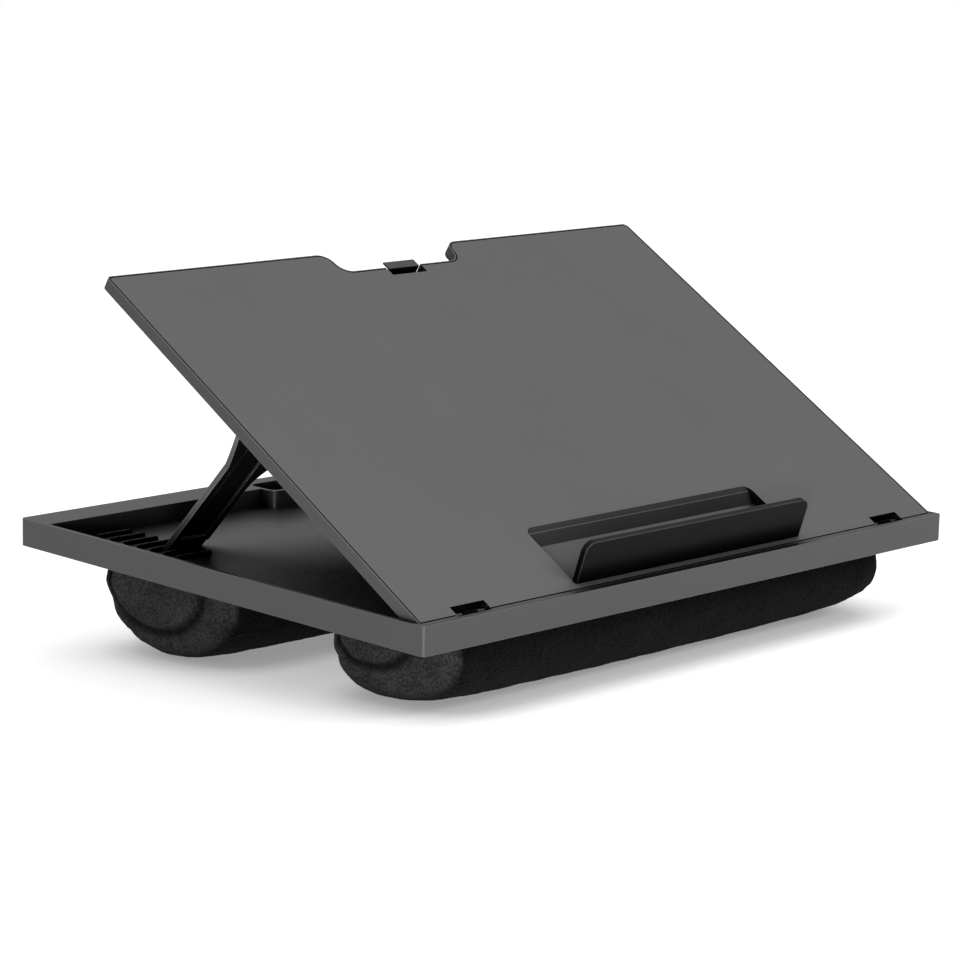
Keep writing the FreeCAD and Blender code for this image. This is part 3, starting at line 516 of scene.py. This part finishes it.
def studio_white(name):
    """A white floor that keeps soft shadows, a little brighter to the camera than the light alone, with
    painted shadow close to the cushions.
    """
    material, nodes, links, shader, place = new_material(name)
    mottle = noise_node(nodes, links, place, floor_mottle_scale, floor_mottle_detail)
    dim = [value * floor_dim_share for value in floor_colour]
    tone = ramp_node(nodes, links, mottle.outputs["Fac"], dim, floor_colour, noise_low, noise_high)
    # Painted shadow close to the cushions, on the floor's colour and on its glow
    beneath = nodes.new("ShaderNodeAmbientOcclusion")
    beneath.samples = hollow_samples
    beneath.inputs["Distance"].default_value = contact_reach
    close = range_node(nodes, links, beneath.outputs["AO"], contact_light_share, 1, contact_closed_share,
                       contact_open_share)
    colour = tinted_node(nodes, links, tone.outputs["Color"], close.outputs["Result"])
    links.new(colour.outputs["Result"], shader.inputs["Base Color"])
    shader.inputs["Roughness"].default_value = floor_roughness
    shader.inputs["Specular IOR Level"].default_value = floor_shine
    shader.inputs["Emission Color"].default_value = WHITE
    path = nodes.new("ShaderNodeLightPath")
    glow = range_node(nodes, links, path.outputs["Is Camera Ray"], 0, floor_glow, 0, 1)
    kept = math_node(nodes, links, "MULTIPLY", glow.outputs["Result"], close.outputs["Result"])
    links.new(kept.outputs["Value"], shader.inputs["Emission Strength"])
    return material


def give(names, material):
    """Puts the material on these nodes."""
    for name in names:
        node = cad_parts[name]
        for material_slot in node.material_slots:
            material_slot.material = material
        if not node.material_slots:
            node.data.materials.append(material)


def dress_nodes(cloth):
    """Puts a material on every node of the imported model."""
    give(BLACK_NODES, moulded_plastic("black_plastic", black_finish))
    give(("tray_shell",), moulded_plastic("shell_plastic", black_finish, beside_hinge=True))
    give(("ledge_flap",), moulded_plastic("flap_plastic", flap_finish))
    give(("platform_frame",), moulded_plastic("frame_plastic", frame_finish, pocket_ramp))
    give(LEG_NODES + RACK_NODES, moulded_plastic("leg_plastic", leg_finish, leg_side))
    give(("platform_top_panel",), moulded_plastic("panel_plastic", panel_finish, plate_top))
    give(LATCH_NODES, moulded_plastic("latch_plastic", latch_finish))
    give(STEEL_NODES, brushed_steel("steel", steel_tones))
    give(HINGE_PINS, brushed_steel("dark_steel", blackened_tones))
    give(FRONT_CUSHION + REAR_CUSHION, cloth)


# Edges of the carried-over nodes

def smooth_faces():
    """A node group that shades a mesh smoothly, and leaves its shape as it is."""
    group = bpy.data.node_groups.new("smooth_faces", "GeometryNodeTree")
    group.interface.new_socket("Geometry", in_out="INPUT", socket_type="NodeSocketGeometry")
    group.interface.new_socket("Geometry", in_out="OUTPUT", socket_type="NodeSocketGeometry")
    entry = group.nodes.new("NodeGroupInput")
    shade = group.nodes.new("GeometryNodeSetShadeSmooth")
    leave = group.nodes.new("NodeGroupOutput")
    group.links.new(entry.outputs[0], shade.inputs["Geometry"])
    group.links.new(shade.outputs["Geometry"], leave.inputs[0])
    return group


def soften_edges(names, width):
    """Rounds the hard edges of these nodes with modifiers, and leaves their meshes as they are."""
    group = smooth_faces()
    for name in names:
        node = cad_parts[name]
        weld = node.modifiers.new("weld", "WELD")
        weld.merge_threshold = weld_distance
        plain = node.modifiers.new("plain", "DECIMATE")
        plain.decimate_type = "DISSOLVE"
        plain.angle_limit = math.radians(flat_angle)
        bevel = node.modifiers.new("bevel", "BEVEL")
        bevel.width = width
        bevel.segments = edge_segments
        bevel.limit_method = "ANGLE"
        bevel.angle_limit = math.radians(edge_angle)
        smooth = node.modifiers.new("smooth", "NODES")
        smooth.node_group = group
        normals = node.modifiers.new("normals", "WEIGHTED_NORMAL")
        normals.weight = normal_weight
        normals.keep_sharp = False


# Cushions

def tray_middle(slope):
    """Half of the tray's depth on the floor."""
    return (tray_depth * math.cos(slope) - rim_height * math.sin(slope)) / 2


def row_place(y, z):
    """The (y, z) in the frame of a point (y, z) of the tray."""
    slope = math.radians(tray_slope)
    row_y = y * math.cos(slope) - z * math.sin(slope) - tray_middle(slope)
    return row_y, y * math.sin(slope) + z * math.cos(slope) + front_stand_height


def height_in_tray(y, z):
    """The height above the tray's underside of a point (y, z) in the frame."""
    slope = math.radians(tray_slope)
    return (z - front_stand_height) * math.cos(slope) - (y + tray_middle(slope)) * math.sin(slope)


def bolster_section(bolster, inset, lift):
    """The outline of a section: flat under the board, full at the sides and round below."""
    middle_y = bolster["front_y"] + bolster["depth"] / 2
    half = bolster["depth"] / 2 - inset
    top_half = half - top_draw
    front_top = row_place(middle_y - top_half, board_underside)
    rear_top = row_place(middle_y + top_half, board_underside)
    middle = (front_top[0] + rear_top[0]) / 2
    top_z = (front_top[1] + rear_top[1]) / 2
    low_z = inset + lift
    wide_z = low_z + (top_z - low_z) * wide_share
    points = []
    for step in range(section_steps + 1):
        turn = math.pi * step / section_steps
        rear = math.cos(turn) > 0
        power = 2 / (bolster["rear_fullness"] if rear else bolster["front_fullness"])
        reach = half - bolster["low_shift"] if rear else half + bolster["low_shift"]
        side = abs(math.cos(turn)) ** power * (1 if rear else -1)
        points.append((middle + bolster["low_shift"] + reach * side,
                       wide_z - (wide_z - low_z) * math.sin(turn) ** power))
    return [(middle, top_z), rear_top] + points + [front_top]


def even_points(outline, count):
    """The closed outline as this many points, evenly spaced along it."""
    closed = outline + outline[:1]
    lengths = [0.0]
    for start, end in zip(closed, closed[1:]):
        lengths.append(lengths[-1] + math.dist(start, end))
    places = []
    run = 0
    for number in range(count):
        place = lengths[-1] * number / count
        while lengths[run + 1] < place:
            run += 1
        share = (place - lengths[run]) / (lengths[run + 1] - lengths[run])
        places.append(tuple(a + (b - a) * share for a, b in zip(closed[run], closed[run + 1])))
    return places


def end_rings(ring, way, seam_ring, half_depth):
    """Rings that turn round the end to the seam of its panel and on inward, and the panel's middle."""
    centre = [sum(point[axis] for point in ring) / len(ring) for axis in range(3)]
    rear = max(point[1] for point in ring)
    high = max(point[2] for point in ring)
    anchor = (centre[1] + (rear - centre[1]) * anchor_share, centre[2] + (high - centre[2]) * anchor_share)
    seam_share = 1 - seam_ring / cap_rings
    middle = [anchor[axis] + (centre[axis + 1] - anchor[axis]) * seam_share for axis in range(2)]
    rings = []
    for number in range(1, cap_rings):
        share = 1 - number / cap_rings
        out = end_bulge * math.sqrt(1 - max(0, 1 - number / seam_ring) ** 2)
        outer_share = max(share, seam_share)
        inner_share = min(1, share / seam_share)
        placed = []
        for point in ring:
            y = anchor[0] + (point[1] - anchor[0]) * outer_share
            z = anchor[1] + (point[2] - anchor[1]) * outer_share
            placed.append((point[0] + way * out, middle[0] + (y - middle[0]) * inner_share,
                           middle[1] + (z - middle[1]) * inner_share))
        rings.append(((share - seam_share) * half_depth, placed))
    return rings, (centre[0] + way * end_bulge, *middle)


def bolster_rings(bolster):
    """Rings of points from the left end to the right one, each with its way from the seam."""
    end_x = bolster["half_length"] - end_bulge
    half_depth = bolster["depth"] / 2
    outline = bolster_section(bolster, start_inset, 0)
    around = sum(math.dist(a, b) for a, b in zip(outline, outline[1:] + outline[:1]))
    count = round(around / mesh_step)
    stations = round(2 * end_x / mesh_step)
    body = []
    for number in range(stations + 1):
        x = -end_x + 2 * end_x * number / stations
        gap = end_x - abs(x)
        drawn = max(0, 1 - gap / seam_run) ** 2
        rise = max(0, 1 - gap / end_lift_run) ** 2
        section = bolster_section(bolster, start_inset + seam_draw * drawn, bolster["end_lift"] * rise)
        body.append((gap + half_depth * bolster["seam_ring"] / cap_rings,
                     [(x, y, z) for y, z in even_points(section, count)]))
    left, left_middle = end_rings(body[0][1], -1, bolster["seam_ring"], half_depth)
    right, right_middle = end_rings(body[-1][1], 1, bolster["seam_ring"], half_depth)
    return left[::-1] + body + right, left_middle, right_middle


def ring_faces(rings, count):
    """Faces between the rings, and a fan at each end to the two points that follow the rings'."""
    faces = []
    for number in range(rings - 1):
        start = number * count
        for place in range(count):
            after = (place + 1) % count
            faces.append((start + after, start + place, start + count + place, start + count + after))
    last = (rings - 1) * count
    for place in range(count):
        after = (place + 1) % count
        faces.append((place, after, last + count))
        faces.append((last + after, last + place, last + count + 1))
    return faces


def bolster_mesh(bolster):
    """The bolster before it swells, with a group for what the board and the seams hold."""
    rings, left_middle, right_middle = bolster_rings(bolster)
    points = [point for _, ring in rings for point in ring] + [left_middle, right_middle]
    gaps = [gap for gap, ring in rings for _ in ring]
    gaps += [rings[0][0] - mesh_step, rings[-1][0] - mesh_step]
    mesh = bpy.data.meshes.new(bolster["name"])
    mesh.from_pydata(points, [], ring_faces(len(rings), len(rings[0][1])))
    mesh.attributes.new("seam_gap", "FLOAT", "POINT").data.foreach_set("value", gaps)
    piece = bpy.data.objects.new(bolster["name"], mesh)
    bpy.context.scene.collection.objects.link(piece)
    held = piece.vertex_groups.new(name="held")
    for number, (point, gap) in enumerate(zip(points, gaps)):
        under_board = height_in_tray(point[1], point[2]) > board_underside - hold_margin
        if under_board or abs(gap) < hold_margin:
            held.add([number], 1, "REPLACE")
    return piece


def swell(piece):
    """Cloth under pressure, whose result is kept in the mesh, each point moved by a limited way."""
    before = [vertex.co.copy() for vertex in piece.data.vertices]
    cloth = piece.modifiers.new("cloth", "CLOTH")
    cloth.settings.quality = cloth_quality
    cloth.settings.mass = cloth_mass
    cloth.settings.bending_stiffness = cloth_bending
    cloth.settings.use_pressure = True
    cloth.settings.uniform_pressure_force = swell_pressure
    cloth.settings.vertex_group_mass = "held"
    cloth.settings.effector_weights.gravity = 0
    cloth.collision_settings.use_collision = False
    scene = bpy.context.scene
    for number in range(1, swell_frames + 1):
        scene.frame_set(number)
    shown = piece.evaluated_get(bpy.context.evaluated_depsgraph_get())
    after = [vertex.co.copy() for vertex in shown.data.vertices]
    piece.modifiers.remove(cloth)
    scene.frame_set(1)
    for vertex, start, end in zip(piece.data.vertices, before, after):
        move = end - start
        if move.length > 0:
            move *= swell_limit * math.tanh(move.length / swell_limit) / move.length
        vertex.co = start + move


def subdivide(piece):
    """Subdivides the surface and keeps the result in the mesh."""
    surface = piece.modifiers.new("surface", "SUBSURF")
    surface.levels = surface_levels
    surface.render_levels = surface_levels
    shown = piece.evaluated_get(bpy.context.evaluated_depsgraph_get())
    mesh = bpy.data.meshes.new_from_object(shown)
    piece.modifiers.remove(surface)
    piece.data = mesh


def gather_height(bolster, place, gap):
    """The height of the gathers at a place, whose folds run out from the seam and die away."""
    middle_y = row_place(bolster["front_y"] + bolster["depth"] / 2, 0)[0]
    middle_z = front_stand_height / 2
    side = 1 if place.x > 0 else -1
    above_floor = min(1, max(0, place.z / gather_rise - gather_foot_share))
    radius = math.hypot(place.y - middle_y, place.z - middle_z)
    turn = math.atan2(place.z - middle_z, place.y - middle_y)
    along = turn * radius / gather_spacing
    seed = Vector((side * side_shift + bolster["front_y"] * row_shift, along * gather_pace_share, 0))
    uneven = gather_least_share + gather_change_share * noise.noise(seed)
    drift = gather_drift * noise.noise(seed + drift_shift + Vector((0, 0, max(gap, 0) / gather_run)))
    wave = math.cos(2 * math.pi * (along + drift))
    reach = abs(gap) / (gather_run if gap > 0 else gather_run / 2)
    fade = math.exp(-reach) * (1 - math.exp(-reach * gather_onset))
    return gather_depth * uneven * wave * fade * above_floor


def finish_surface(piece, bolster):
    """Draws the seam in, gathers the cloth beside it, and gives the cushion its lumps and pile."""
    mesh = piece.data
    gaps = mesh.attributes["seam_gap"].data
    lump_place = Vector((0, 0, bolster["front_y"] * lump_shift))
    moves = []
    for vertex, gap in zip(mesh.vertices, gaps):
        place = vertex.co
        hang = -height_in_tray(place.y, place.z)
        free = min(1, max(0, hang / (2 * groove_width)))
        groove = -groove_depth * math.exp(-(gap.value / groove_width) ** 2)
        gather = gather_height(bolster, place, gap.value)
        lump = lump_depth * noise.noise(place / lump_size + lump_place)
        pile = pile_depth * noise.noise(place / pile_size)
        moves.append(vertex.normal * (groove + gather + lump + pile) * free)
    for vertex, move in zip(mesh.vertices, moves):
        vertex.co += move


def settle(piece):
    """Keeps the cushion above the floor, flat where it rests, and below the board."""
    slope = math.radians(tray_slope)
    for vertex in piece.data.vertices:
        height = vertex.co.z
        vertex.co.z = (height + math.sqrt(height ** 2 + rest_softness ** 2)) / 2
        over = height_in_tray(vertex.co.y, vertex.co.z) - board_underside
        if over > 0:
            vertex.co.y += over * math.sin(slope)
            vertex.co.z -= over * math.cos(slope)


def add_cushion(bolster, material):
    """One cushion over its cover and filling."""
    piece = bolster_mesh(bolster)
    swell(piece)
    subdivide(piece)
    finish_surface(piece, bolster)
    settle(piece)
    for polygon in piece.data.polygons:
        polygon.use_smooth = True
    piece.data.materials.append(material)
    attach(piece, "base")
    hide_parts(*bolster["nodes"])


def bolsters():
    """The two bolsters, the front one lower, shorter in depth and leaning to the rear."""
    front = {"name": "front_cushion", "nodes": FRONT_CUSHION, "front_y": 16.0 * mm, "depth": 117.0 * mm,
             "low_shift": 8.0 * mm, "rear_fullness": 2.7, "front_fullness": 2.1, "end_lift": 2.0 * mm,
             "seam_ring": 5}
    rear = {"name": "rear_cushion", "nodes": REAR_CUSHION, "front_y": 229.0 * mm, "depth": 137.0 * mm,
            "low_shift": 0, "rear_fullness": 2.1, "front_fullness": 2.1, "end_lift": 1.0 * mm,
            "seam_ring": 3}
    for bolster in (front, rear):
        bolster["half_length"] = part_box(bolster["nodes"][0])[1][0]
    return front, rear


# Camera, floor and lights

def add_camera():
    """The photograph's camera, turned about its own axis at the end."""
    turn = math.radians(camera_turn)
    height = math.radians(camera_height_angle)
    level = math.cos(height)
    forward = Vector((math.sin(turn) * level, math.cos(turn) * level, -math.sin(height)))
    right = forward.cross(Vector((0, 0, 1))).normalized()
    up = right.cross(forward)
    roll = math.radians(camera_roll)
    right = right * math.cos(roll) + up * math.sin(roll)
    up = right.cross(forward)
    data = bpy.data.cameras.new("camera")
    data.lens = camera_lens
    data.sensor_width = camera_sensor
    data.sensor_fit = "HORIZONTAL"
    data.clip_end = camera_far_end
    camera = bpy.data.objects.new("camera", data)
    bpy.context.scene.collection.objects.link(camera)
    place = Matrix.Translation(Vector(camera_target) - forward * camera_distance)
    camera.matrix_world = place @ Matrix((right, up, -forward)).transposed().to_4x4()
    bpy.context.scene.camera = camera


def add_floor(material):
    """A wide floor just below the origin."""
    half = floor_size / 2
    mesh = bpy.data.meshes.new("floor")
    corners = [(-half, -half, -floor_drop), (half, -half, -floor_drop), (half, half, -floor_drop),
               (-half, half, -floor_drop)]
    mesh.from_pydata(corners, [], [(0, 1, 2, 3)])
    mesh.materials.append(material)
    floor = bpy.data.objects.new("floor", mesh)
    bpy.context.scene.collection.objects.link(floor)


def add_lamp(name, lamp):
    """A soft rectangular lamp that looks at its target."""
    data = bpy.data.lights.new(name, "AREA")
    data.shape = "RECTANGLE"
    data.size, data.size_y = lamp["size"]
    data.energy = lamp["power"]
    light = bpy.data.objects.new(name, data)
    bpy.context.scene.collection.objects.link(light)
    light.location = lamp["place"]
    way = Vector(lamp["target"]) - Vector(lamp["place"])
    light.rotation_euler = way.to_track_quat("-Z", "Y").to_euler()


def add_sky():
    """An even pale sky, a little brighter overhead, which the camera sees as white."""
    world = bpy.data.worlds.new("studio")
    world.use_nodes = True
    nodes = world.node_tree.nodes
    links = world.node_tree.links
    light = nodes["Background"]
    light.inputs["Color"].default_value = WHITE
    place = nodes.new("ShaderNodeTexCoord")
    split = nodes.new("ShaderNodeSeparateXYZ")
    links.new(place.outputs["Generated"], split.inputs["Vector"])
    rise = range_node(nodes, links, split.outputs["Z"], sky_low, sky_high, 0, 1)
    links.new(rise.outputs["Result"], light.inputs["Strength"])
    seen = nodes.new("ShaderNodeBackground")
    seen.inputs["Color"].default_value = WHITE
    seen.inputs["Strength"].default_value = 1
    path = nodes.new("ShaderNodeLightPath")
    mix = nodes.new("ShaderNodeMixShader")
    links.new(path.outputs["Is Camera Ray"], mix.inputs["Fac"])
    links.new(light.outputs["Background"], mix.inputs[1])
    links.new(seen.outputs["Background"], mix.inputs[2])
    links.new(mix.outputs["Shader"], nodes["World Output"].inputs["Surface"])
    bpy.context.scene.world = world


def add_lights():
    add_sky()
    add_lamp("front_panel", front_panel)
    add_lamp("left_panel", left_panel)
    add_lamp("low_strip", low_strip)


def main():
    bpy.context.scene.view_settings.view_transform = "Standard"
    cloth = fleece("fleece")
    dress_nodes(cloth)
    soften_edges(THICK_NODES, edge_round)
    soften_edges(THIN_NODES, thin_edge_round)
    for bolster in bolsters():
        add_cushion(bolster, cloth)
    add_floor(studio_white("studio_floor"))
    add_lights()
    add_camera()


main()
